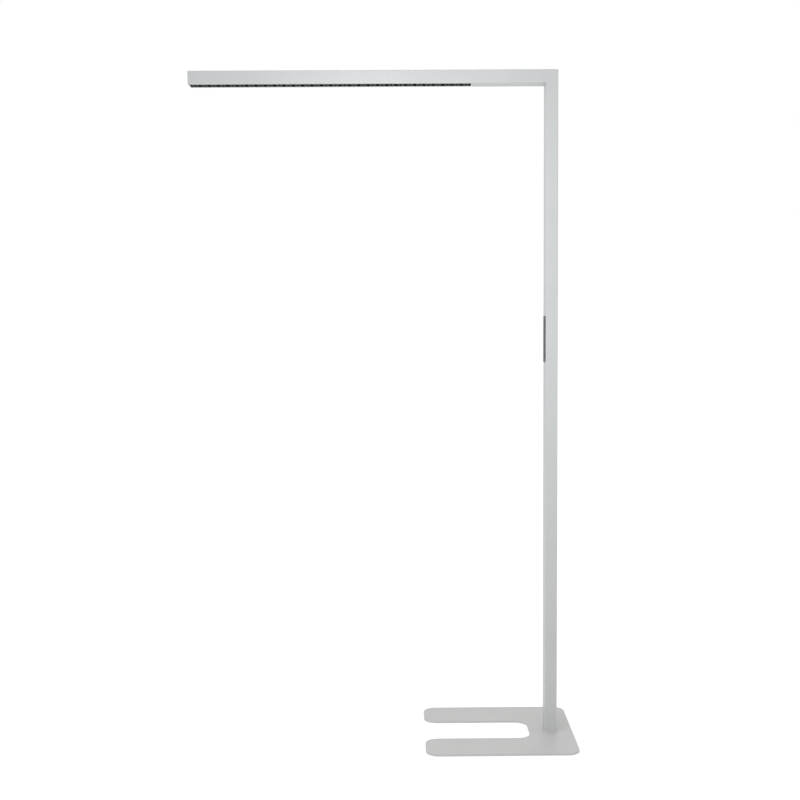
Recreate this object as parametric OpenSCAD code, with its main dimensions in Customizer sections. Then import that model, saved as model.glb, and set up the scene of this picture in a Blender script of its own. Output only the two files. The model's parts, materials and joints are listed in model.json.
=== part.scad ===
// Office floor lamp: a U-shaped steel base plate, a slim rectangular column and a long arm
// that reaches out over a desk. Black anti-glare louvers close the arm below, an opal
// diffuser closes it above, and four push buttons sit in a panel on the column.
// Origin: on the floor, under the middle of the column. The arm reaches out along -X, and
// the front of the lamp looks along -Y.

/* [Overall] */
// Height of the top of the arm above the floor
overall_h = 1950; // [1700:10:2200]
// Distance from the axis of the column to the free end of the arm
arm_reach = 1046; // [880:2:1240]

/* [Profiles] */
// Depth of the column and of the arm, front to back
profile_d = 64; // [60:1:76]
// Width of the column, seen from the front
col_w = 35; // [34:1:50]
// Height of the arm
arm_h = 38; // [38:1:48]
// Wall thickness of both extrusions
wall = 2; // [1.6:0.2:2.4]
// Radius of the long outer edges
edge_r = 2.5; // [1:0.5:4]

/* [Base plate] */
// Length of the plate, along the arm
base_l = 440; // [380:5:520]
// Depth of the plate, front to back
base_d = 446; // [380:2:520]
// Thickness of the plate
base_t = 5; // [4.5:0.5:10]
// Distance from the axis of the column to the closed edge of the plate
base_heel = 65; // [50:1:90]
// Radius of the corners of the plate
base_r = 38; // [10:1:44]
// Length of the bridge that joins the two prongs, from the slot to the closed edge
bridge_l = 129; // [115:1:180]
// Width of the slot
slot_d = 162; // [120:2:200]
// Radius of the inner corners of the slot
slot_r = 40; // [10:1:50]
// Thickness of the felt under the plate
felt_t = 1.5; // [1:0.5:3]
// How far the felt stays back from the edge of the plate
felt_inset = 5; // [4:1:12]

/* [Foot block and corner bracket] */
// Height of what lies inside each end of the column
block_h = 70; // [60:5:100]
// Length of the bracket's leg inside the arm, from the column
leg_l = 80; // [60:5:110]
// Thread diameter of the screws in the base
base_screw_d = 6; // [5:0.5:6]
// How far the screws reach into the foot block
thread_l = 14; // [10:1:20]
// Distance between the screws across the column
screw_span_x = 18; // [16:0.5:19]
// Distance between the screws along the depth of the column
screw_span_y = 42; // [36:1:44]
// Diameter of the hole for the leads through the corner bracket
lead_hole_d = 15; // [13:0.5:15]

/* [Louvers] */
// Distance between two groups of cells along the arm
group_pitch = 27; // [26:0.25:27]
// Width of the mouth of a cell
cell_mouth = 8; // [6.5:0.25:8.5]
// Width of a cell at its narrow end, next to the light source
cell_throat = 4.4; // [4:0.2:5]
// Width of the web between two cells of a group
cell_web = 2.4; // [1.4:0.2:3]
// Height of a louver
louver_h = 11.8; // [10:0.2:12]
// How far the louvers lie back from the underside of the arm
louver_recess = 0.5; // [0.4:0.1:1.5]

/* [Light engine] */
// Thickness of the tray that carries the light boards and the driver
tray_t = 3; // [2:0.5:3.5]
// Thickness of a circuit board
board_t = 1.6; // [1:0.2:1.6]
// Width of a light-emitting diode
led_w = 3; // [2:0.25:3.5]
// Length of the driver
driver_l = 190; // [150:5:190]
// Width of the driver
driver_w = 40; // [30:1:44]
// Height of the driver
driver_h = 16; // [12:0.5:16]
// Thickness of the diffuser's edges, which lie under the wall
diffuser_t = 1.4; // [1:0.2:2]

/* [Control panel] */
// Height of the middle of the panel above the floor
panel_z = 1176; // [900:2:1400]
// Height of the panel
panel_h = 136; // [130:1:160]
// Width of the panel
panel_w = 56; // [52:1:56]
// How far the panel stands out from the column
panel_proud = 0.8; // [0.6:0.1:3]
// Height of a button
button_h = 25; // [18:1:26]
// Width of a button
button_w = 40; // [26:1:42]
// Distance between the middles of two buttons
button_pitch = 30; // [28:0.5:31]
// How far a button stands out from the panel
button_proud = 0.6; // [0.5:0.1:2]
// How far a button travels
button_travel = 0.5; // [0.3:0.1:0.9]

/* [Leads and inlet] */
// Height of the cord inlet above the floor
inlet_z = 124; // [120:2:160]
// Bore of the cord inlet
inlet_bore = 7.4; // [6:0.2:8.4]
// Diameter of the mains lead inside the column
mains_d = 6; // [4:0.5:6.5]
// Diameter of the control lead inside the column
control_d = 4; // [3:0.5:4.5]
// Diameter of the leads between the driver and the light boards
led_lead_d = 2.4; // [1.6:0.2:3]

/* [Hidden] */
$fn = 48;
eps = 1;                                   // overrun of a cut past a face
fit_gap = 0.15;                            // gap round a piece that slides into another
thread_gap = 0.05;                         // gap between a thread and its hole
thread_spare = 3;                          // depth of a threaded hole past its screw
bottom_z = felt_t;                         // underside of the plate
plate_z = bottom_z + base_t;               // top of the plate
arm_z = overall_h - arm_h;                 // underside of the arm
block_w = col_w - 2 * (wall * max(1, col_w / arm_h) + fit_gap); // width of what fills the column
block_d = profile_d - 2 * (wall + fit_gap);
block_r = 1;
inner_r = 0.5;                             // radius inside the extrusions
grub_d = 6;
grub_back = 0.3;                           // grub screws lie below the face of the column
grub_x = 8;                                // grub screws sit to both sides of the middle
foot_grub_z = plate_z + 0.5 * block_h;
top_grub_z = arm_z - 0.5 * block_h;

arm_grub_from = [0.25, 0.75];              // places of the grub screws along the bracket's leg

cap_t = 3;                                 // cap on the free end of the arm
plug_l = 6;                                // plug of the cap, inside the arm
tube_x0 = -arm_reach + cap_t;
lip = 2;                                   // edge left beside the upper window of the arm
window_w = profile_d - 2 * (wall + lip);
louver_count = 3;
cell_pitch = cell_mouth + cell_web;
row_pairs = 2;                             // pairs of rows of cells across the arm
row_pair_pitch = 2 * cell_pitch;
louver_rim = 2.1;                          // edge of a louver beside its outer cells
corner_room = 6;                           // the tray ends short of the column
driver_room = 8;                           // from the driver to that end of the tray
tray_x1 = -col_w / 2 - corner_room;
driver_x1 = tray_x1 - driver_room;
driver_x0 = driver_x1 - driver_l;
lead_room = 7;                             // least room between the driver and the boards
// The lit stretch fills the arm up to the driver with whole groups, in equal louvers.
groups_per_louver = floor((driver_x0 - lead_room - tube_x0) / (louver_count * group_pitch));
louver_l = group_pitch * groups_per_louver;
louver_w = row_pairs * row_pair_pitch - cell_web + 2 * louver_rim;
louver_window_w = louver_w + 4 * fit_gap;
louver_gap = 0.05;                         // a louver ends this far short of its share
lit_l = louver_l * louver_count;
window_l = lit_l + 2 * fit_gap;
flange_t = 1.5;                            // flanges that rest on the lips
flange_w = profile_d - 2 * (wall + inner_r);

louver_z = arm_z + louver_recess;
louver_top = louver_z + louver_h;
led_h = 0.8;
led_gap = 0.4;                             // gap between the diodes and the louvers
down_board_z = louver_top + led_gap + led_h; // underside of the boards that shine down
tray_z = down_board_z + board_t;
tray_top = tray_z + tray_t;
rib_t = 1.8;                               // ribs inside the arm
rib_w = 3;
tray_gap = 0.1;                            // gap between a rib and what it holds
board_edge = 1;                            // edge of a board beside its outer cells
board_w = row_pairs * row_pair_pitch + 2 * board_edge;
board_gap = 0.5;                           // a board ends this far short of its louver
up_board_back = 10;                        // upper boards stay back from the free end
up_led_step = 18;
plug_wall = 1.5;
leg_z = arm_z + wall * max(1, arm_h / col_w) + fit_gap; // underside of the bracket's leg
leg_top = tray_z - tray_gap - rib_t - fit_gap;
arm_grub_z = (leg_z + leg_top) / 2;
driver_tab = 8;                            // mounting tabs at the ends of the driver
driver_tab_t = 2;
driver_screw_d = 3;
diffuser_z = overall_h - wall - diffuser_t - tray_gap;

panel_wall = 2;                            // frame of the panel, inside the column
panel_web = 2.2;                           // plate of the panel, pierced by the buttons
panel_depth = 8;                           // how deep the frame reaches into the column
panel_r = 3;
panel_border = 3;                          // edge of the panel that rests on the column
frame_w = panel_w - 2 * panel_border;
frame_h = panel_h - 2 * panel_border;
button_gap = 0.3;                          // gap round a button
button_flange = 1.2;
button_lip = 1;                            // flange of a button, behind the panel
button_r = 2;
switch_w = 6;
switch_h = 3.4;
plunger_d = 3.4;
plunger_h = 0.8;
panel_hole_r = 1;                          // radius of the frame's inner corners
panel_screw_d = 2.5;
panel_thread_l = 4;
panel_boss_d = 6;
panel_boss_y = frame_h / 2 - panel_wall - 0.2 * panel_boss_d;
panel_board_back = 0.5;                    // the board stays this far inside the frame
socket_depth = (col_w + control_d) / 2 + 1 - panel_depth - board_t; // reaches past the control lead
socket_w = 8;
socket_h = 14;
socket_y = 22;                             // underside of the socket above the panel's middle

lead_gap = 1;                              // the two leads lie side by side in the hole
mains_y = -(control_d + lead_gap) / 2;
control_y = (mains_d + lead_gap) / 2;
socket_x = mains_y + (mains_d + lead_gap) / 2; // the socket stays clear of the mains lead
bend_r = 8;
lead_z = tray_top + driver_h / 2;
inlet_body_d = 11;
inlet_flange_d = 16;
inlet_flange_t = 1.6;
inlet_nose_d = 13;                         // end of the tapered nose of the bush
inlet_nose_t = 1.4;
inlet_collar_d = 13.4;                     // collar that holds the bush behind the wall
inlet_collar_t = 1.9;
inlet_reach = 2;                           // how far the bush reaches past the wall
terminal_l = 18;
terminal_w = 32;
terminal_h = 20;
terminal_bore = 4;
up_socket_h = 4;                           // socket on the upper board next to the driver
up_socket_w = 8;
led_lead_z = tray_top + board_t + up_socket_h / 2;
led_bend_r = 3;
up_lead_y = driver_w / 4;
down_lead_y = -up_lead_y;
down_board_x1 = tube_x0 + fit_gap + lit_l - 0.5;
down_bend_x = (driver_x0 + down_board_x1) / 2 + led_bend_r;

metal = [0.80, 0.82, 0.82];
steel = [0.62, 0.63, 0.64];
black = [0.04, 0.04, 0.045];
dark = [0.12, 0.12, 0.13];
board_green = [0.10, 0.30, 0.18];
opal = [0.95, 0.95, 0.93];
grey = [0.45, 0.46, 0.47];

// ---- shared shapes ----

// A rectangle with round corners, centred on the origin.
module round_rect(l, w, r) {
    difference() {
        square([l, w], center = true);
        for (sx = [-1, 1], sy = [-1, 1])
            translate([sx * l / 2, sy * w / 2]) mirror([sx < 0 ? 1 : 0, 0]) mirror([0, sy < 0 ? 1 : 0])
                corner_waste(r);
    }
}

// What a round corner leaves off a square one whose point is at the origin.
module corner_waste(r) {
    difference() {
        translate([-r, -r]) square(r + eps);
        translate([-r, -r]) circle(r = r);
    }
}

// A rectangular tube's section.
module tube_section(l, w) {
    difference() {
        round_rect(l, w, edge_r);
        round_rect(l - 2 * wall, w - 2 * wall, inner_r);
    }
}

// Places children at one of the four screws that join the column to the plate.
module at_screw(i) {
    translate([(i % 2 == 0 ? -1 : 1) * screw_span_x / 2, (i < 2 ? -1 : 1) * screw_span_y / 2])
        children();
}

// A screw with a cylindrical head: the head stands on z = 0 and the thread points down.
module cap_screw(d, l) {
    difference() {
        union() {
            cylinder(d = 1.7 * d, h = 0.9 * d);
            translate([0, 0, -l]) cylinder(d = d - 2 * thread_gap, h = l);
        }
        translate([0, 0, 0.4 * d]) cylinder(d = 0.9 * d, h = d, $fn = 6);
    }
}

// A screw with a countersunk head: the head's face is on z = 0 and the thread points up.
module sunk_screw(d, l) {
    difference() {
        union() {
            cylinder(d1 = 2 * d - 2 * fit_gap, d2 = d - 2 * thread_gap, h = 0.5 * d);
            translate([0, 0, 0.5 * d]) cylinder(d = d - 2 * thread_gap, h = l - 0.5 * d);
        }
        translate([0, 0, -eps]) cylinder(d = 0.6 * d, h = 0.35 * d + eps, $fn = 6);
    }
}

// A headless screw that lies in the back wall and presses on a block.
module grub_screw(z, x) {
    color(steel)
        translate([x, profile_d / 2 - grub_back, z]) rotate([90, 0, 0])
            difference() {
                cylinder(d = grub_d - 2 * thread_gap, h = wall + fit_gap - grub_back);
                translate([0, 0, -eps]) cylinder(d = 0.5 * grub_d, h = 0.5 * wall + eps, $fn = 6);
            }
}

// A solid that fills the column over a height, from z = 0 up.
module block(h) {
    linear_extrude(height = h) round_rect(block_w, block_d, block_r);
}

// What the mitred corner leaves off the column (side = 1) or off the arm (side = -1).
module mitre_waste(side) {
    over = 0.1;                            // overrun of the cut past both ends, as a share of it
    low = [-(0.5 + over) * col_w, arm_z - over * arm_h];
    high = [(0.5 + over) * col_w, overall_h + over * arm_h];
    rotate([90, 0, 0]) linear_extrude(height = profile_d + 2 * eps, center = true)
        polygon([low, high, side > 0 ? [low[0], high[1]] : [high[0], low[1]]]);
}

// Turns the local frame to the panel: z looks out of the column, y is up.
module on_panel() {
    translate([-col_w / 2, 0, panel_z]) rotate([90, 0, -90]) children();
}

// A straight lead along Z, and one along X.
module lead_up(d, x, y, z0, z1) {
    translate([x, y, z0]) cylinder(d = d, h = z1 - z0);
}
module lead_along(d, x0, x1, y, z) {
    translate([x0, y, z]) rotate([0, 90, 0]) cylinder(d = d, h = x1 - x0);
}

// A quarter bend in the XZ plane, round its centre, from a start angle.
module lead_bend(d, r, x, y, z, from) {
    translate([x, y, z]) rotate([90, 0, 0]) rotate([0, 0, from])
        rotate_extrude(angle = 90) translate([r, 0]) circle(d = d);
}

// ---- base ----

// The U outline of the plate, drawn back from its edge by a distance.
module base_outline(inset) {
    mid_x = base_heel - base_l / 2;
    tip_x = base_heel - base_l;
    difference() {
        translate([mid_x, 0]) round_rect(base_l - 2 * inset, base_d - 2 * inset, base_r - inset);
        translate([tip_x, 0])
            round_rect(2 * (base_l - bridge_l + inset), slot_d + 2 * inset, slot_r + inset);
        for (s = [-1, 1])
            translate([tip_x + inset, s * (slot_d / 2 + inset)])
                mirror([1, 0]) mirror([0, s > 0 ? 1 : 0]) corner_waste(base_r - inset);
    }
}

module base_plate() color(metal)
    difference() {
        translate([0, 0, bottom_z]) linear_extrude(height = base_t) base_outline(0);
        for (i = [0:3])
            at_screw(i) {
                translate([0, 0, bottom_z - eps])
                    cylinder(d = base_screw_d + 2 * fit_gap, h = base_t + 2 * eps);
                translate([0, 0, bottom_z])
                    cylinder(d1 = 2 * base_screw_d, d2 = base_screw_d + 2 * fit_gap, h = 0.5 * base_screw_d);
            }
    }

module base_felt() color(dark)
    difference() {
        linear_extrude(height = felt_t) base_outline(felt_inset);
        for (i = [0:3])
            at_screw(i) translate([0, 0, -eps]) cylinder(d = 2 * base_screw_d + 1, h = felt_t + 2 * eps);
    }

module base_screw(i) color(steel)
    at_screw(i) translate([0, 0, bottom_z]) sunk_screw(base_screw_d, base_t + thread_l);

module foot_block() color(steel)
    difference() {
        translate([0, 0, plate_z]) block(block_h);
        for (i = [0:3])
            at_screw(i) translate([0, 0, plate_z - eps])
                cylinder(d = base_screw_d, h = thread_l + thread_spare + eps);
    }

// ---- column ----

module column() color(metal)
    difference() {
        translate([0, 0, plate_z])
            linear_extrude(height = overall_h - plate_z) tube_section(col_w, profile_d);
        mitre_waste(1);
        on_panel() translate([0, 0, -wall - eps])
            linear_extrude(height = wall + 2 * eps)
                round_rect(frame_w + 2 * fit_gap, frame_h + 2 * fit_gap, panel_r);
        translate([0, profile_d / 2 + eps, inlet_z]) rotate([90, 0, 0])
            cylinder(d = inlet_body_d + 2 * fit_gap, h = wall + 2 * eps);
        for (z = [foot_grub_z, top_grub_z], s = [-1, 1])
            translate([s * grub_x, profile_d / 2 + eps, z]) rotate([90, 0, 0])
                cylinder(d = grub_d, h = wall + 2 * eps);
    }

// One leg fills the top of the column, and a flat leg lies in the arm under its ribs.
module corner_bracket() color(steel)
    difference() {
        union() {
            translate([0, 0, arm_z - block_h]) block(leg_top - arm_z + block_h);
            translate([-col_w / 2 - leg_l, -block_d / 2, leg_z])
                cube([leg_l + col_w / 2, block_d, leg_top - leg_z]);
        }
        translate([0, 0, arm_z - block_h - eps])
            cylinder(d = lead_hole_d, h = leg_top - arm_z + block_h + 2 * eps);
    }

// ---- arm ----

// A rib on each side wall of the arm, from height z up.
module rib_pair(z) {
    for (s = [-1, 1])
        translate([z - arm_z - arm_h / 2, s * (profile_d / 2 - wall - rib_w / 2) - rib_w / 2])
            square([rib_t, rib_w]);
}

// The arm's section lies in a plane whose X is the height and whose Y is the depth.
module arm_section() {
    tube_section(arm_h, profile_d);
    rib_pair(tray_z - tray_gap - rib_t);
    rib_pair(tray_top + tray_gap);
    rib_pair(diffuser_z - tray_gap - rib_t);
}

// Stands a section in the YZ plane and runs it from x0 to x1 at the height of the arm.
module along_arm(x0, x1) {
    translate([x0, 0, arm_z + arm_h / 2]) rotate([0, 90, 0]) mirror([1, 0, 0])
        linear_extrude(height = x1 - x0) children();
}

module arm_housing() color(metal)
    difference() {
        along_arm(tube_x0, col_w / 2) arm_section();
        mitre_waste(-1);
        translate([tube_x0 - eps, -louver_window_w / 2, arm_z - eps])
            cube([window_l + eps, louver_window_w, wall + 2 * eps]);
        translate([tube_x0 - eps, -window_w / 2, overall_h - wall - eps])
            cube([window_l + eps, window_w, wall + 2 * eps]);
        for (i = [0:1])
            translate([arm_grub_x(i), profile_d / 2 + eps, arm_grub_z]) rotate([90, 0, 0])
                cylinder(d = grub_d, h = wall + 2 * eps);
    }

function arm_grub_x(i) = -col_w / 2 - arm_grub_from[i] * leg_l;

// The plate closes the free end of the arm, and its hollow plug fits between two ribs.
module arm_end_cap() color(metal) {
    plug_z0 = tray_top + tray_gap + rib_t + fit_gap;
    plug_z1 = diffuser_z - tray_gap - rib_t - fit_gap;
    along_arm(-arm_reach, tube_x0) round_rect(arm_h, profile_d, edge_r);
    difference() {
        translate([tube_x0, -block_d / 2, plug_z0]) cube([plug_l, block_d, plug_z1 - plug_z0]);
        translate([tube_x0, -block_d / 2 + plug_wall, plug_z0 + plug_wall])
            cube([plug_l + eps, block_d - 2 * plug_wall, plug_z1 - plug_z0 - 2 * plug_wall]);
    }
}

// ---- louvers ----

// The slopes of pairs of cells, seen along the cells: one tapered slot for each cell.
module cell_slots(pairs, pitch) {
    for (g = [0:pairs - 1], s = [-1, 1])
        translate([(g - (pairs - 1) / 2) * pitch + s * cell_pitch / 2, 0])
            polygon([
                [-cell_mouth / 2, 0], [cell_mouth / 2, 0],
                [cell_throat / 2, louver_h], [-cell_throat / 2, louver_h]
            ]);
}

// Slots along the arm crossed with slots across it leave a tapered cell at each crossing.
module cells() {
    intersection() {
        translate([0, louver_w / 2, 0]) rotate([90, 0, 0])
            linear_extrude(height = louver_w) cell_slots(groups_per_louver, group_pitch);
        translate([-louver_l / 2, 0, 0]) rotate([90, 0, 90])
            linear_extrude(height = louver_l) cell_slots(row_pairs, row_pair_pitch);
    }
}

module louver(i) color(black)
    translate([tube_x0 + fit_gap + (i + 0.5) * louver_l, 0, louver_z])
        difference() {
            union() {
                translate([-louver_l / 2 + louver_gap, -louver_w / 2, 0])
                    cube([louver_l - 2 * louver_gap, louver_w, louver_h]);
                translate([-louver_l / 2 + louver_gap, -flange_w / 2, wall - louver_recess])
                    cube([louver_l - 2 * louver_gap, flange_w, flange_t]);
            }
            cells();
        }

// ---- light engine ----

module gear_tray() color(steel)
    difference() {
        translate([tube_x0, -block_d / 2, tray_z]) cube([tray_x1 - tube_x0, block_d, tray_t]);
        for (i = [0:1])
            translate([driver_hole_x(i), 0, tray_z - eps]) cylinder(d = driver_screw_d, h = tray_t + 2 * eps);
        translate([down_board_x1, down_lead_y - led_lead_d, tray_z - eps])
            cube([driver_x0 - down_board_x1, 2 * led_lead_d, tray_t + 2 * eps]);
    }

// Diodes at the throats of the cells of one louver.
module leds() {
    for (g = [0:groups_per_louver - 1], sx = [-1, 1], r = [0:row_pairs - 1], sy = [-1, 1])
        translate([
            (g - (groups_per_louver - 1) / 2) * group_pitch + sx * cell_pitch / 2 - led_w / 2,
            (r - (row_pairs - 1) / 2) * row_pair_pitch + sy * cell_pitch / 2 - led_w / 2, 0
        ]) cube([led_w, led_w, led_h]);
}

module down_board(i) color(board_green)
    translate([tube_x0 + fit_gap + (i + 0.5) * louver_l, 0, down_board_z]) {
        translate([-louver_l / 2 + board_gap, -board_w / 2, 0])
            cube([louver_l - 2 * board_gap, board_w, board_t]);
        translate([0, 0, -led_h]) leds();
    }

module up_board(i) color(board_green) {
    x0 = tube_x0 + fit_gap + i * louver_l + (i == 0 ? up_board_back : board_gap);
    x1 = tube_x0 + fit_gap + (i + 1) * louver_l - board_gap;
    led_count = floor((x1 - x0) / up_led_step);
    translate([x0, -board_w / 2, tray_top]) cube([x1 - x0, board_w, board_t]);
    for (k = [0:led_count - 1], sy = [-1, 1])
        translate([
            (x0 + x1 - led_w) / 2 + (k - (led_count - 1) / 2) * up_led_step,
            sy * board_w / 4 - led_w / 2, tray_top + board_t
        ]) cube([led_w, led_w, led_h]);
    if (i == louver_count - 1)
        translate([x1 - up_socket_w, up_lead_y - up_socket_w / 2, tray_top + board_t])
            cube([up_socket_w, up_socket_w, up_socket_h]);
}

module up_diffuser() color(opal) {
    translate([tube_x0 + fit_gap, -window_w / 2 + fit_gap, diffuser_z])
        cube([lit_l, window_w - 2 * fit_gap, overall_h - diffuser_z]);
    translate([tube_x0 + fit_gap, -flange_w / 2, diffuser_z]) cube([lit_l, flange_w, diffuser_t]);
}

function driver_hole_x(i) = i == 0 ? driver_x0 + driver_tab / 2 : driver_x1 - driver_tab / 2;

module driver() color(grey)
    difference() {
        union() {
            translate([driver_x0 + driver_tab, -driver_w / 2, tray_top])
                cube([driver_l - 2 * driver_tab, driver_w, driver_h]);
            translate([driver_x0, -driver_w / 2, tray_top]) cube([driver_l, driver_w, driver_tab_t]);
        }
        for (i = [0:1])
            translate([driver_hole_x(i), 0, tray_top - eps])
                cylinder(d = driver_screw_d + 2 * fit_gap, h = driver_tab_t + 2 * eps);
    }

module driver_screw(i) color(steel)
    translate([driver_hole_x(i), 0, tray_top + driver_tab_t])
        cap_screw(driver_screw_d, driver_tab_t + tray_t);

// ---- inlet and leads ----

module inlet_bush() color(dark)
    translate([0, profile_d / 2, inlet_z]) rotate([-90, 0, 0])
        difference() {
            union() {
                cylinder(d = inlet_flange_d, h = inlet_flange_t);
                translate([0, 0, inlet_flange_t])
                    cylinder(d1 = inlet_flange_d, d2 = inlet_nose_d, h = inlet_nose_t);
                translate([0, 0, -wall - inlet_reach])
                    cylinder(d = inlet_body_d, h = wall + inlet_reach + eps);
                translate([0, 0, -wall - inlet_reach]) cylinder(d = inlet_collar_d, h = inlet_collar_t);
            }
            translate([0, 0, -wall - inlet_reach - eps])
                cylinder(d = inlet_bore, h = wall + inlet_reach + inlet_flange_t + inlet_nose_t + 2 * eps);
        }

// Three ways in a row for the cores of the mains leads.
module terminal_block() color(opal)
    translate([0, 0, plate_z + block_h])
        difference() {
            translate([-terminal_l / 2, -terminal_w / 2, 0]) cube([terminal_l, terminal_w, terminal_h]);
            for (k = [-1:1])
                translate([-terminal_l / 2 - eps, k * terminal_w / 3, terminal_h / 2]) rotate([0, 90, 0])
                    cylinder(d = terminal_bore, h = terminal_l + 2 * eps);
        }

module mains_lead() color(dark) {
    lead_up(mains_d, 0, mains_y, plate_z + block_h + terminal_h, lead_z - bend_r);
    lead_bend(mains_d, bend_r, -bend_r, mains_y, lead_z - bend_r, 0);
    lead_along(mains_d, driver_x1 - driver_tab, -bend_r, mains_y, lead_z);
}

module control_lead() color(grey) {
    lead_up(control_d, 0, control_y, panel_z + socket_y + socket_h, lead_z - bend_r);
    lead_bend(control_d, bend_r, -bend_r, control_y, lead_z - bend_r, 0);
    lead_along(control_d, driver_x1 - driver_tab, -bend_r, control_y, lead_z);
}

module up_lead() color(dark)
    lead_along(led_lead_d, down_board_x1, driver_x0 + driver_tab, up_lead_y, led_lead_z);

module down_lead() color(dark) {
    z1 = down_board_z + board_t / 2;
    lead_along(led_lead_d, down_bend_x, driver_x0 + driver_tab, down_lead_y, led_lead_z);
    lead_bend(led_lead_d, led_bend_r, down_bend_x, down_lead_y, led_lead_z - led_bend_r, 90);
    lead_up(led_lead_d, down_bend_x - led_bend_r, down_lead_y, z1 + led_bend_r, led_lead_z - led_bend_r);
    lead_bend(led_lead_d, led_bend_r, down_bend_x - 2 * led_bend_r, down_lead_y, z1 + led_bend_r, -90);
    lead_along(led_lead_d, down_board_x1, down_bend_x - 2 * led_bend_r, down_lead_y, z1);
}

// ---- control panel ----

module panel_bezel() color(black)
    on_panel()
        difference() {
            union() {
                linear_extrude(height = panel_proud) round_rect(panel_w, panel_h, panel_r + 1);
                translate([0, 0, -panel_depth]) linear_extrude(height = panel_depth)
                    round_rect(frame_w, frame_h, panel_r);
            }
            translate([0, 0, -panel_depth - eps])
                linear_extrude(height = panel_depth + eps + panel_proud - panel_web)
                    difference() {
                        round_rect(frame_w - 2 * panel_wall, frame_h - 2 * panel_wall, panel_hole_r);
                        for (s = [-1, 1])
                            translate([0, s * (frame_h / 2 - panel_wall)]) circle(d = panel_boss_d);
                    }
            for (i = [0:3])
                translate([0, button_y(i), panel_proud - panel_web - eps])
                    linear_extrude(height = panel_web + 2 * eps)
                        round_rect(
                            button_w + 2 * button_gap, button_h + 2 * button_gap, button_r + button_gap
                        );
            for (s = [-1, 1])
                translate([0, s * panel_boss_y, -panel_depth - eps])
                    cylinder(d = panel_screw_d, h = panel_thread_l + eps + 1);
        }

function button_y(i) = (1.5 - i) * button_pitch;

module panel_board() color(board_green)
    on_panel() translate([0, 0, -panel_depth - board_t])
        difference() {
            union() {
                linear_extrude(height = board_t)
                    round_rect(frame_w - 2 * panel_board_back, frame_h - 2 * panel_board_back, panel_hole_r);
                for (i = [0:3])
                    translate([0, button_y(i), board_t]) {
                        translate([-switch_w / 2, -switch_w / 2, 0]) cube([switch_w, switch_w, switch_h]);
                        translate([0, 0, switch_h]) cylinder(d = plunger_d, h = plunger_h);
                    }
                // socket for the control lead, on the back of the board
                translate([-socket_x - socket_w, socket_y, -socket_depth])
                    cube([socket_w, socket_h, socket_depth]);
            }
            for (s = [-1, 1])
                translate([0, s * panel_boss_y, -eps])
                    cylinder(d = panel_screw_d + 2 * fit_gap, h = board_t + 2 * eps);
        }

module panel_screw(s) color(steel)
    on_panel() translate([0, s * panel_boss_y, -panel_depth - board_t])
        rotate([180, 0, 0]) cap_screw(panel_screw_d, board_t + panel_thread_l);

// A button's cap stands in the panel, its flange holds it behind, and its stem is above a switch.
module button(i) color(grey)
    on_panel() translate([0, button_y(i), 0]) {
        back = panel_proud - panel_web - thread_gap;
        tip = -panel_depth + switch_h + plunger_h + button_travel + 2 * thread_gap;
        translate([0, 0, back - button_flange])
            linear_extrude(height = panel_proud + button_proud - back + button_flange)
                round_rect(button_w, button_h, button_r);
        translate([0, 0, back - button_flange]) linear_extrude(height = button_flange)
            round_rect(button_w + 2 * button_lip, button_h + 2 * button_lip, button_r);
        if (tip < back - button_flange)
            translate([0, 0, tip]) cylinder(d = plunger_d, h = back - button_flange - tip);
    }

base_plate();
base_felt();
column();
foot_block();
corner_bracket();
base_screw(0);  // base_screw_1
base_screw(1);  // base_screw_2
base_screw(2);  // base_screw_3
base_screw(3);  // base_screw_4
grub_screw(foot_grub_z, -grub_x);  // foot_grub_1
grub_screw(foot_grub_z, grub_x);  // foot_grub_2
grub_screw(top_grub_z, -grub_x);  // top_grub_1
grub_screw(top_grub_z, grub_x);  // top_grub_2
grub_screw(arm_grub_z, arm_grub_x(0));  // arm_grub_1
grub_screw(arm_grub_z, arm_grub_x(1));  // arm_grub_2
arm_housing();
arm_end_cap();
louver(0);  // louver_1
louver(1);  // louver_2
louver(2);  // louver_3
gear_tray();
down_board(0);  // down_board_1
down_board(1);  // down_board_2
down_board(2);  // down_board_3
up_board(0);  // up_board_1
up_board(1);  // up_board_2
up_board(2);  // up_board_3
up_diffuser();
driver();
driver_screw(0);  // driver_screw_1
driver_screw(1);  // driver_screw_2
inlet_bush();
terminal_block();
mains_lead();
control_lead();
up_lead();
down_lead();
panel_bezel();
panel_board();
panel_screw(-1);  // panel_screw_1
panel_screw(1);  // panel_screw_2
button(0);  // button_power
button(1);  // button_brighter
button(2);  // button_dimmer
button(3);  // button_auto
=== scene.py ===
# Looks for the office floor lamp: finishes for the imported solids, softened edges, marks on
# the buttons, the light-emitting diodes, and a white studio with a soft light.
import json
import math

import bmesh
import bpy
from mathutils import Matrix, Vector

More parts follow.
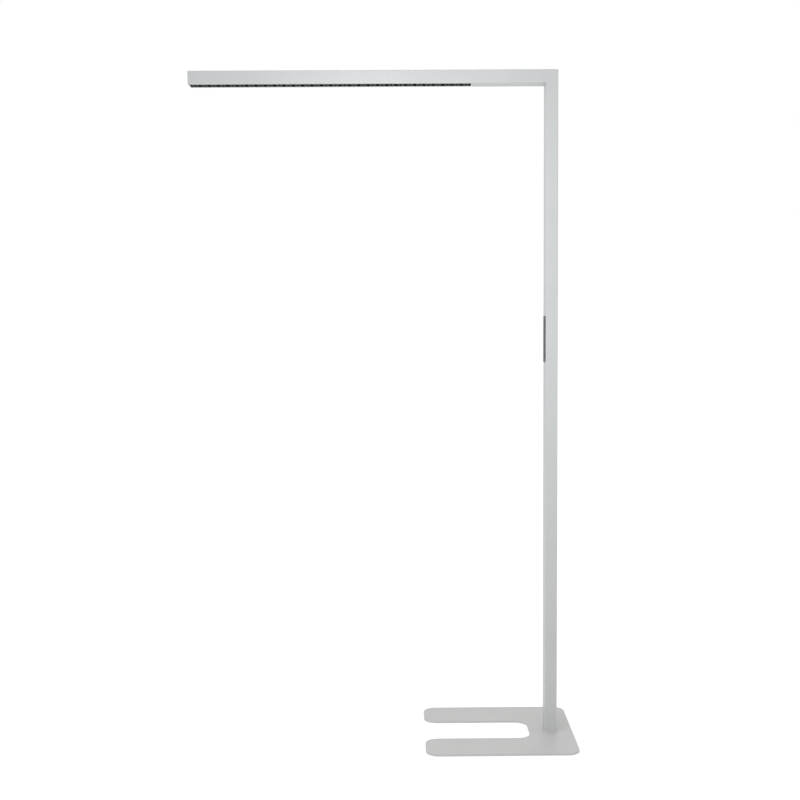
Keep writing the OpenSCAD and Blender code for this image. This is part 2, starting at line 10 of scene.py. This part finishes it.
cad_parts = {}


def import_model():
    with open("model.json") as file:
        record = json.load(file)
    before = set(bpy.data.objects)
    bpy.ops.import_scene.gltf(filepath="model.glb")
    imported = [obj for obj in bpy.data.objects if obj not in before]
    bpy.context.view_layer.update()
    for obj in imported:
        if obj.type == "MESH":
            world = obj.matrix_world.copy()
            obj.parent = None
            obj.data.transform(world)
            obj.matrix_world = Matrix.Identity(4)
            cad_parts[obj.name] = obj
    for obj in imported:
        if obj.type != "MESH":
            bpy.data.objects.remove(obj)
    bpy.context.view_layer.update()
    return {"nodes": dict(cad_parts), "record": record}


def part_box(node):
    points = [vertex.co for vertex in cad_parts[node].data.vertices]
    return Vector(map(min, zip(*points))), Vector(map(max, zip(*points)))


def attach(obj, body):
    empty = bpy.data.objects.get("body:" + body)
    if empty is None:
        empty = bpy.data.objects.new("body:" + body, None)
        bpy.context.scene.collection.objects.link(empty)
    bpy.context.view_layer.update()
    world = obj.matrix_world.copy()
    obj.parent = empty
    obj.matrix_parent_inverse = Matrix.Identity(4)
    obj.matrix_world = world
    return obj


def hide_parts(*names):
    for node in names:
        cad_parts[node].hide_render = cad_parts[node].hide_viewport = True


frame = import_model()
nodes = frame["nodes"]
MM = 0.001

# ---- named values, in metres, radians, watts and pixels of an 800 x 800 picture ----

CAMERA_PLACE = (-0.43734, -3.83508, 1.24680)
CAMERA_YAW = 0.00682         # to the right of +Y
CAMERA_TILT = -0.07542       # below the horizon
CAMERA_ROLL = -0.00576
FOCAL_PX = 1304.63
SHIFT_PX = (10.94, 14.27)    # right, down
PICTURE_PX = 800
SENSOR_MM = 36.0
CLIP_END = 200

WORLD_LIGHT = 0.65           # strength of the surroundings as a light
WORLD_TINT = (1.0, 0.995, 0.982, 1)
LAMP_TINT = (0.98, 0.99, 1.0)
FLOOR_COLOUR = (0.81, 0.81, 0.81, 1)
FLOOR_LIFT = 0.52            # what the floor adds for the eye and for reflections
FLOOR_SIZE = 60.0
FLOOR_PARTS = 4              # squares along each side of the floor
WHITE = (1, 1, 1, 1)
# Each lamp is a square: its name, its place, what it faces, its side and its power.
LAMPS = (
    ("arm_lamp", (-0.52, -0.62, 1.78), (-0.46, 0, 1.85), 0.35, 1.0),
    ("front_lamp", (-0.40, -1.10, 1.35), (-0.40, 0, 1.35), 0.60, 4.9),
    ("side_lamp", (-0.90, -1.20, 1.50), (0, 0, 0), 0.50, 2.4),
)

EDGE = 0.7 * MM              # radius of a softened edge
FINE_EDGE = 0.35 * MM        # the same on small pieces
EDGE_STEPS = 3
SHARP = math.radians(40)     # edges that turn more than this are softened
LEVEL = math.radians(0.5)    # faces that turn less than this against each other are one
WELD = 0.001 * MM            # corners closer than this are one
SAME = 0.01 * MM             # places closer than this count as one

DIODE_W = 3 * MM             # side of a diode's square face
HALF_FACE = DIODE_W ** 2 / 2
LENS_R = 1.15 * MM
LENS_H = 0.85 * MM
LENS_SINK = 0.15 * MM        # how deep a lens goes into its diode
LENS_SIDES = 12
LENS_RINGS = 4

MARK_PROUD = 0.12 * MM       # how far a mark stands out from its button
MARK_SINK = 0.10 * MM        # how deep a mark goes into its button
MARK_LINE = 0.7 * MM         # width of a mark's lines
MARK_HALF = 3.2 * MM         # half the length of a mark
DOT_R = 1.1 * MM
DOT_STEPS = 24
RING_STEPS = 36
RING_GAP = math.radians(38)  # from the top of the power sign's ring to each of its ends
END_STEPS = 8                # on the round end of a line

GRAIN = 0.1 * MM             # depth of the finest bumps
SLOPED = (0.08, 0.5)         # how much of a sloped wall's normal is vertical, from and to


# ---- small tools for materials ----

# A mix node has sockets for every kind of data. These are the ones for colours.
MIX_FIRST, MIX_SECOND, MIX_RESULT = 6, 7, 2


class Graph:
    """A material's nodes, with short calls for what the finishes share."""

    def __init__(self, name):
        self.material = bpy.data.materials.new(name)
        self.material.use_nodes = True
        self.tree = self.material.node_tree
        self.tree.nodes.clear()
        self.out = self.tree.nodes.new("ShaderNodeOutputMaterial")
        self.shader = self.tree.nodes.new("ShaderNodeBsdfPrincipled")
        self.link(self.shader.outputs[0], self.out.inputs["Surface"])
        self.place = self.tree.nodes.new("ShaderNodeTexCoord").outputs["Object"]

    def link(self, a, b):
        self.tree.links.new(a, b)

    def put(self, **values):
        """Constants for the shader's sockets, named in small letters with underscores."""
        for name, value in values.items():
            socket = name.replace("_", " ").title().replace("Ior", "IOR")
            self.shader.inputs[socket].default_value = value

    def scaled(self, scale):
        """The object's coordinates, stretched by a scale for each axis."""
        n = self.tree.nodes.new("ShaderNodeMapping")
        n.inputs["Scale"].default_value = scale
        self.link(self.place, n.inputs["Vector"])
        return n.outputs[0]

    def noise(self, scale, detail=2.0, rough=0.5, stretch=None):
        n = self.tree.nodes.new("ShaderNodeTexNoise")
        n.inputs["Scale"].default_value = scale
        n.inputs["Detail"].default_value = detail
        n.inputs["Roughness"].default_value = rough
        self.link(self.scaled(stretch) if stretch else self.place, n.inputs["Vector"])
        return n.outputs["Fac"]

    def cells(self, scale, feature="F1", out="Distance"):
        n = self.tree.nodes.new("ShaderNodeTexVoronoi")
        n.feature = feature
        n.inputs["Scale"].default_value = scale
        self.link(self.place, n.inputs["Vector"])
        return n.outputs[out]

    def spread(self, value, low, high, at_low, at_high):
        """A value's range, turned into another range."""
        n = self.tree.nodes.new("ShaderNodeMapRange")
        for i, v in enumerate((low, high, at_low, at_high)):
            n.inputs[i + 1].default_value = v
        self.link(value, n.inputs[0])
        return n.outputs[0]

    def calc(self, kind, a, b):
        """A sum, a product or a comparison; each side is a number or another node's output."""
        n = self.tree.nodes.new("ShaderNodeMath")
        n.operation = kind
        for i, v in enumerate((a, b)):
            if isinstance(v, (int, float)):
                n.inputs[i].default_value = v
            else:
                self.link(v, n.inputs[i])
        return n.outputs[0]

    def blend(self, fac, a, b):
        """Two colours, mixed by a value; each is a colour or another node's output."""
        n = self.tree.nodes.new("ShaderNodeMix")
        n.data_type = "RGBA"
        self.link(fac, n.inputs[0])
        for i, v in ((MIX_FIRST, a), (MIX_SECOND, b)):
            if isinstance(v, tuple):
                n.inputs[i].default_value = (*v, 1)
            else:
                self.link(v, n.inputs[i])
        return n.outputs[MIX_RESULT]

    def bump(self, height, strength, distance, below=None):
        n = self.tree.nodes.new("ShaderNodeBump")
        n.inputs["Strength"].default_value = strength
        n.inputs["Distance"].default_value = distance
        self.link(height, n.inputs["Height"])
        if below is not None:
            self.link(below, n.inputs["Normal"])
        return n.outputs[0]

    def colour(self, value):
        self.link(value, self.shader.inputs["Base Color"])

    def rough(self, value):
        self.link(value, self.shader.inputs["Roughness"])

    def normal(self, value):
        self.link(value, self.shader.inputs["Normal"])


def powder(name, light, dark, metallic, rough):
    """Fine powder coat: pigment and metal flakes that vary a little, and a skin of small bumps."""
    g = Graph(name)
    pigment = g.noise(2600, 3, 0.7)
    cloud = g.noise(5, 2, 0.5)
    both = g.calc("ADD", g.calc("MULTIPLY", pigment, 0.6), g.calc("MULTIPLY", cloud, 0.4))
    flake = g.spread(g.cells(2600, out="Color"), 0, 1, -0.30, 0.30)
    g.colour(g.blend(g.calc("ADD", g.spread(both, 0.35, 0.65, 0, 1), flake), dark, light))
    g.rough(g.spread(g.noise(900, 2), 0.3, 0.7, rough - 0.05, rough + 0.06))
    skin = g.bump(g.noise(700, 2, 0.45), 0.50, 3 * GRAIN)
    g.normal(g.bump(g.cells(2200), 0.20, GRAIN, skin))
    g.put(metallic=metallic, coat_weight=0.12, coat_roughness=0.35)
    return g.material


def plastic(name, light, dark, rough, grain):
    """Moulded plastic with the fine grain of its mould."""
    g = Graph(name)
    g.colour(g.blend(g.noise(60, 4, 0.6), dark, light))
    fine = g.noise(grain, 3, 0.6)
    g.rough(g.spread(fine, 0.3, 0.7, rough - 0.06, rough + 0.08))
    g.normal(g.bump(g.cells(grain * 0.6), 0.25, GRAIN))
    return g.material


def felt():
    """Dark wool felt: single fibres over a soft unevenness."""
    g = Graph("felt_wool")
    fibre = g.noise(1400, 5, 0.75)
    g.colour(g.blend(fibre, (0.028, 0.028, 0.030), (0.085, 0.085, 0.090)))
    g.rough(g.spread(g.noise(400), 0.2, 0.8, 0.90, 1.0))
    pile = g.bump(fibre, 0.8, 6 * GRAIN)
    g.normal(g.bump(g.noise(90, 3), 0.4, 8 * GRAIN, pile))
    g.put(sheen_weight=0.35, sheen_roughness=0.5, specular_ior_level=0.15)
    return g.material


def zinc():
    """Zinc plate: bright, with fine drawn lines and cloudy patches."""
    g = Graph("zinc_plate")
    patch = g.cells(120, out="Color")
    g.colour(g.blend(patch, (0.50, 0.52, 0.55), (0.66, 0.67, 0.68)))
    drawn = g.noise(300, 3, 0.6, stretch=(1, 14, 14))
    g.rough(g.spread(drawn, 0.3, 0.7, 0.26, 0.42))
    g.normal(g.bump(drawn, 0.08, 2 * GRAIN))
    g.put(metallic=1.0)
    return g.material


def louver():
    """Matt black grid. The sloped walls of its cells carry a dark metal film."""
    g = Graph("louver_black")
    geometry = g.tree.nodes.new("ShaderNodeNewGeometry")
    apart = g.tree.nodes.new("ShaderNodeSeparateXYZ")
    g.link(geometry.outputs["True Normal"], apart.inputs[0])
    upright = g.calc("ABSOLUTE", apart.outputs["Z"], 0)
    above = g.calc("GREATER_THAN", upright, SLOPED[0])
    slope = g.calc("MULTIPLY", above, g.calc("LESS_THAN", upright, SLOPED[1]))
    haze = g.noise(220, 3, 0.6)
    black = g.blend(haze, (0.0025, 0.0025, 0.003), (0.006, 0.006, 0.007))
    film = g.blend(haze, (0.096, 0.098, 0.102), (0.142, 0.145, 0.151))
    g.colour(g.blend(slope, black, film))
    g.link(slope, g.shader.inputs["Metallic"])
    g.rough(g.spread(slope, 0, 1, 0.70, 0.20))
    g.normal(g.bump(g.noise(1600, 2), 0.04, GRAIN))
    g.put(specular_ior_level=0.0)
    return g.material


def solder_mask(name, light, dark):
    """A circuit board: lacquer over faint copper tracks."""
    g = Graph(name)
    track = g.tree.nodes.new("ShaderNodeTexBrick")
    track.inputs["Scale"].default_value = 140
    track.inputs["Mortar Size"].default_value = 0.03
    g.link(g.place, track.inputs["Vector"])
    g.colour(g.blend(g.calc("MULTIPLY", track.outputs["Fac"], 0.6), light, dark))
    g.rough(g.spread(g.noise(500), 0.3, 0.7, 0.32, 0.45))
    g.normal(g.bump(track.outputs["Fac"], 0.3, GRAIN))
    return g.material


def opal():
    """Satin opal acrylic that lets some light in."""
    g = Graph("opal_acrylic")
    g.colour(g.blend(g.noise(8, 2), (0.84, 0.84, 0.82), (0.90, 0.90, 0.88)))
    g.rough(g.spread(g.noise(700, 2), 0.3, 0.7, 0.34, 0.44))
    g.normal(g.bump(g.noise(1100, 2), 0.06, GRAIN))
    g.put(subsurface_weight=0.25, subsurface_scale=0.004, ior=1.49)
    return g.material


def sheath(name, light, dark):
    """A lead's sheath: satin, with the faint lines that its die leaves."""
    g = Graph(name)
    lines = g.noise(900, 2, 0.5, stretch=(1, 1, 0.03))
    g.colour(g.blend(lines, dark, light))
    g.rough(g.spread(lines, 0.3, 0.7, 0.42, 0.55))
    g.normal(g.bump(lines, 0.15, GRAIN))
    return g.material


def phosphor():
    """Silicone with yellow phosphor: grains that show through a glossy skin."""
    g = Graph("phosphor_lens")
    grain = g.noise(6000, 3, 0.7)
    g.colour(g.blend(g.spread(grain, 0.3, 0.7, 0, 1), (0.72, 0.50, 0.07), (0.86, 0.68, 0.16)))
    g.rough(g.spread(g.noise(3000, 2), 0.3, 0.7, 0.14, 0.24))
    g.normal(g.bump(grain, 0.05, 0.3 * GRAIN))
    g.put(subsurface_weight=0.2, subsurface_scale=0.0008, ior=1.41)
    return g.material


SILVER_LIGHT, SILVER_DARK = (0.645, 0.665, 0.668), (0.585, 0.605, 0.608)
BASE_LIGHT, BASE_DARK = (0.660, 0.664, 0.659), (0.598, 0.602, 0.597)
finishes = {
    "powder_coat": powder("powder_silver", SILVER_LIGHT, SILVER_DARK, 0.15, 0.46),
    "base_coat": powder("powder_base", BASE_LIGHT, BASE_DARK, 0.10, 0.50),
    "felt": felt(),
    "zinc_steel": zinc(),
    "louver_black": louver(),
    "board": solder_mask("mask_white", (0.80, 0.80, 0.78), (0.70, 0.70, 0.69)),
    "opal": opal(),
    "driver_case": plastic("driver_shell", (0.80, 0.80, 0.79), (0.72, 0.72, 0.71), 0.5, 1500),
    "bush": plastic("bush_black", (0.035, 0.035, 0.036), (0.020, 0.020, 0.021), 0.5, 1800),
    "terminal": plastic("terminal_ivory", (0.78, 0.77, 0.72), (0.70, 0.69, 0.65), 0.42, 1500),
    "lead": sheath("sheath_black", (0.045, 0.045, 0.050), (0.028, 0.028, 0.032)),
    "lead_grey": sheath("sheath_grey", (0.36, 0.37, 0.38), (0.28, 0.29, 0.30)),
    "panel_black": plastic(
        "panel_shell", (0.032, 0.032, 0.036), (0.018, 0.018, 0.021), 0.44, 2200
    ),
    "panel_board": solder_mask("mask_green", (0.03, 0.15, 0.07), (0.02, 0.10, 0.05)),
    "button": plastic("button_soft", (0.060, 0.060, 0.065), (0.042, 0.042, 0.047), 0.58, 2600),
}

slot_of = {p["node"]: p["material_slot"] for p in frame["record"]["subparts"]}


def finish_of(name):
    """The finish of a CAD node, by its slot in the record."""
    return finishes[slot_of[name]]


for name, solid in nodes.items():
    if not solid.material_slots:
        solid.data.materials.append(finish_of(name))
    for s in solid.material_slots:
        s.material = finish_of(name)


# ---- softened edges ----

def softened(node, body, name, radius, face_x=None):
    """A copy of a solid with round edges, in its place. With face_x, only its edges there."""
    mesh = nodes[node].data.copy()
    piece = bpy.data.objects.new(name, mesh)
    bpy.context.scene.collection.objects.link(piece)
    b = bmesh.new()
    b.from_mesh(mesh)
    bmesh.ops.remove_doubles(b, verts=b.verts, dist=WELD)
    bmesh.ops.dissolve_limit(b, angle_limit=LEVEL, verts=b.verts, edges=b.edges)
    sharp = [e for e in b.edges if len(e.link_faces) == 2 and e.calc_face_angle() > SHARP]
    if face_x is not None:
        sharp = [e for e in sharp if all(abs(v.co.x - face_x) < SAME for v in e.verts)]
    bmesh.ops.bevel(
        b, geom=sharp, offset=radius, offset_type="OFFSET", segments=EDGE_STEPS, profile=0.5,
        affect="EDGES", clamp_overlap=False,
    )
    bmesh.ops.recalc_face_normals(b, faces=b.faces)
    for f in b.faces:
        f.smooth = True
    b.to_mesh(mesh)
    b.free()
    weighted = piece.modifiers.new("weighted", "WEIGHTED_NORMAL")
    weighted.keep_sharp = True
    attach(piece, body)
    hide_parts(node)


softened("base_plate", "lamp", "base_plate_soft", EDGE)
softened("arm_end_cap", "lamp", "arm_end_cap_soft", FINE_EDGE)
bezel_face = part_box("panel_bezel")[0].x
softened("panel_bezel", "lamp", "panel_bezel_soft", FINE_EDGE, face_x=bezel_face)
for node in ("button_power", "button_brighter", "button_dimmer", "button_auto"):
    softened(node, node, node + "_soft", FINE_EDGE)


# ---- lenses on the light-emitting diodes ----

def new_piece(name, b, finish):
    """An object from a bmesh, with its finish."""
    bmesh.ops.recalc_face_normals(b, faces=b.faces)
    mesh = bpy.data.meshes.new(name)
    b.to_mesh(mesh)
    b.free()
    piece = bpy.data.objects.new(name, mesh)
    bpy.context.scene.collection.objects.link(piece)
    piece.data.materials.append(finish)
    return piece


def ring(b, x, y, z, radius):
    """The corners of a lens at one height."""
    turns = [2 * math.pi * i / LENS_SIDES for i in range(LENS_SIDES)]
    return [b.verts.new((x + radius * math.cos(a), y + radius * math.sin(a), z)) for a in turns]


def lenses(name, centres, face_z, up):
    """Low domes, one on each diode. up is 1 for boards that shine up, and -1 for the others."""
    b = bmesh.new()
    for x, y in centres:
        rings = []
        for k in range(LENS_RINGS):
            lean = math.pi / 2 * k / LENS_RINGS
            height = face_z + up * LENS_H * math.sin(lean)
            rings.append(ring(b, x, y, height, LENS_R * math.cos(lean)))
        foot = ring(b, x, y, face_z - up * LENS_SINK, LENS_R)
        rings.insert(0, foot)
        tip = b.verts.new((x, y, face_z + up * LENS_H))
        b.faces.new(foot[::-1])
        for i in range(LENS_SIDES):
            j = (i + 1) % LENS_SIDES
            for low, high in zip(rings, rings[1:]):
                b.faces.new((low[i], low[j], high[j], high[i]))
            b.faces.new((rings[-1][i], rings[-1][j], tip))
    for f in b.faces:
        f.smooth = len(f.verts) < LENS_SIDES
    piece = new_piece(name, b, lens_finish)
    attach(piece, "lamp")


def diode_faces(node, up):
    """The middles of a board's diodes, and the height of their outer faces."""
    solid = nodes[node]
    found = []
    for f in solid.data.polygons:
        is_level = abs(f.normal.z) > 0.99
        is_half_face = abs(f.area / HALF_FACE - 1) < 0.04
        if len(f.vertices) != 3 or not is_level or not is_half_face:
            continue
        # A diode's square face is two triangles: their longest edge runs through its middle.
        p, q, r = (solid.matrix_world @ solid.data.vertices[i].co for i in f.vertices)
        ends = max(((p, q), (q, r), (r, p)), key=lambda e: (e[1] - e[0]).length)
        found.append((ends[0] + ends[1]) / 2)
    if not found:
        return [], 0
    level = max(up * v.z for v in found)
    outer = [v for v in found if up * v.z > level - SAME]
    return sorted({(round(v.x, 5), round(v.y, 5)) for v in outer}), up * level


lens_finish = phosphor()
for i in (1, 2, 3):
    for node, up in (("down_board_%d" % i, -1), ("up_board_%d" % i, 1)):
        middles, face_z = diode_faces(node, up)
        if middles:
            lenses("lenses_" + node, middles, face_z, up)


# ---- marks on the buttons ----

def plate_mark(name, outlines, body, face_x, centre_z):
    """Flat marks from closed outlines, raised a little from a button's face."""
    b = bmesh.new()
    for points in outlines:
        front, back = [], []
        for u, v in points:
            front.append(b.verts.new((face_x - MARK_PROUD, -u, centre_z + v)))
            back.append(b.verts.new((face_x + MARK_SINK, -u, centre_z + v)))
        n = len(points)
        b.faces.new(front)
        b.faces.new(back[::-1])
        for i in range(n):
            b.faces.new((front[i], back[i], back[(i + 1) % n], front[(i + 1) % n]))
    piece = new_piece(name, b, mark_finish)
    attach(piece, body)


def turn(start, sweep, steps):
    """Angles at even steps, from the start to the end of a sweep."""
    return [start + sweep * i / steps for i in range(steps + 1)]


def around(radius, angles, x=0, y=0):
    """Points of a circle."""
    return [(x + radius * math.cos(a), y + radius * math.sin(a)) for a in angles]


def bar(x0, y0, x1, y1):
    """A line with round ends."""
    aside = math.atan2(y1 - y0, x1 - x0) + math.pi / 2
    far_end = around(MARK_LINE / 2, turn(aside - math.pi, math.pi, END_STEPS), x1, y1)
    near_end = around(MARK_LINE / 2, turn(aside, math.pi, END_STEPS), x0, y0)
    return far_end + near_end


def disc(radius):
    """A filled round mark."""
    return around(radius, turn(0, 2 * math.pi, DOT_STEPS)[:-1])


def open_ring(radius, start, sweep):
    """Part of a ring, as one closed outline."""
    angles = turn(start, sweep, RING_STEPS)
    outer = around(radius + MARK_LINE / 2, angles)
    inner = around(radius - MARK_LINE / 2, angles)
    return outer + inner[::-1]


mark_finish = plastic("mark_grey", (0.62, 0.63, 0.64), (0.54, 0.55, 0.56), 0.4, 1800)
marks = {
    "button_power": [
        open_ring(MARK_HALF, math.pi / 2 + RING_GAP, 2 * math.pi - 2 * RING_GAP),
        bar(0, 1.2 * MM, 0, 4.2 * MM),
    ],
    "button_brighter": [
        bar(-MARK_HALF, 0, MARK_HALF, 0),
        bar(0, 0.5 * MM, 0, MARK_HALF),
        bar(0, -MARK_HALF, 0, -0.5 * MM),
    ],
    "button_dimmer": [bar(-MARK_HALF, 0, MARK_HALF, 0)],
    "button_auto": [disc(DOT_R)],
}
for node, outlines in marks.items():
    low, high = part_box(node)
    mark_name = node.replace("button_", "mark_")
    plate_mark(mark_name, outlines, node, low.x, (low.z + high.z) / 2)


# ---- studio ----

def seen_by_eye(tree, elsewhere, seen):
    """One value for camera, glossy and transmission rays, and another for the other rays."""
    path = tree.nodes.new("ShaderNodeLightPath")
    total = None
    for ray in ("Is Camera Ray", "Is Glossy Ray", "Is Transmission Ray"):
        if total is None:
            total = path.outputs[ray]
            continue
        n = tree.nodes.new("ShaderNodeMath")
        n.operation = "MAXIMUM"
        tree.links.new(total, n.inputs[0])
        tree.links.new(path.outputs[ray], n.inputs[1])
        total = n.outputs[0]
    n = tree.nodes.new("ShaderNodeMapRange")
    n.inputs["To Min"].default_value = elsewhere
    n.inputs["To Max"].default_value = seen
    tree.links.new(total, n.inputs["Value"])
    return n.outputs[0]


def floor():
    """A pale floor. It adds a lift for the eye and for reflections, and keeps the shadow."""
    bpy.ops.mesh.primitive_grid_add(
        size=FLOOR_SIZE, x_subdivisions=FLOOR_PARTS, y_subdivisions=FLOOR_PARTS
    )
    piece = bpy.context.object
    piece.name = "floor"
    mat = bpy.data.materials.new("floor_white")
    mat.use_nodes = True
    tree = mat.node_tree
    tree.nodes.clear()
    out = tree.nodes.new("ShaderNodeOutputMaterial")
    matt = tree.nodes.new("ShaderNodeBsdfDiffuse")
    matt.inputs["Color"].default_value = FLOOR_COLOUR
    lift = tree.nodes.new("ShaderNodeEmission")
    tree.links.new(seen_by_eye(tree, 0, FLOOR_LIFT), lift.inputs["Strength"])
    both = tree.nodes.new("ShaderNodeAddShader")
    tree.links.new(matt.outputs[0], both.inputs[0])
    tree.links.new(lift.outputs[0], both.inputs[1])
    tree.links.new(both.outputs[0], out.inputs["Surface"])
    piece.data.materials.append(mat)


def world():
    """White for the eye, and a soft light from all sides for the rest."""
    w = bpy.data.worlds.new("studio")
    bpy.context.scene.world = w
    w.use_nodes = True
    tree = w.node_tree
    tree.nodes.clear()
    out = tree.nodes.new("ShaderNodeOutputWorld")
    sky = tree.nodes.new("ShaderNodeBackground")
    tree.links.new(seen_by_eye(tree, WORLD_LIGHT, 1), sky.inputs["Strength"])
    tint = tree.nodes.new("ShaderNodeMix")
    tint.data_type = "RGBA"
    tint.inputs[MIX_FIRST].default_value = WORLD_TINT
    tint.inputs[MIX_SECOND].default_value = WHITE
    tree.links.new(seen_by_eye(tree, 0, 1), tint.inputs[0])
    tree.links.new(tint.outputs[MIX_RESULT], sky.inputs["Color"])
    tree.links.new(sky.outputs[0], out.inputs["Surface"])


def area_lamp(name, place, target, side, power):
    """A soft square lamp that shows neither in the picture nor in reflections."""
    data = bpy.data.lights.new(name, "AREA")
    data.shape = "SQUARE"
    data.size = side
    data.energy = power
    data.color = LAMP_TINT
    lamp = bpy.data.objects.new(name, data)
    lamp.location = place
    lamp.rotation_euler = (Vector(target) - Vector(place)).to_track_quat("-Z", "Y").to_euler()
    lamp.visible_camera = False
    lamp.visible_glossy = False
    bpy.context.scene.collection.objects.link(lamp)


def camera():
    """The camera of the photograph, from its place, turn, focal length and small shift."""
    sy, cy = math.sin(CAMERA_YAW), math.cos(CAMERA_YAW)
    st, ct = math.sin(CAMERA_TILT), math.cos(CAMERA_TILT)
    sr, cr = math.sin(CAMERA_ROLL), math.cos(CAMERA_ROLL)
    forward = Vector((sy * ct, cy * ct, st))
    right = Vector((cy, -sy, 0))
    up = right.cross(forward)
    right_rolled = cr * right + sr * up
    up_rolled = cr * up - sr * right
    data = bpy.data.cameras.new("camera")
    data.sensor_width = SENSOR_MM
    data.lens = FOCAL_PX / PICTURE_PX * SENSOR_MM
    data.shift_x = -SHIFT_PX[0] / PICTURE_PX
    data.shift_y = SHIFT_PX[1] / PICTURE_PX
    data.clip_end = CLIP_END
    cam = bpy.data.objects.new("camera", data)
    turn = Matrix((right_rolled, up_rolled, -forward)).transposed().to_4x4()
    cam.matrix_world = Matrix.Translation(CAMERA_PLACE) @ turn
    bpy.context.scene.collection.objects.link(cam)
    bpy.context.scene.camera = cam


floor()
world()
for lamp_values in LAMPS:
    area_lamp(*lamp_values)
camera()
bpy.context.scene.view_settings.view_transform = "Standard"
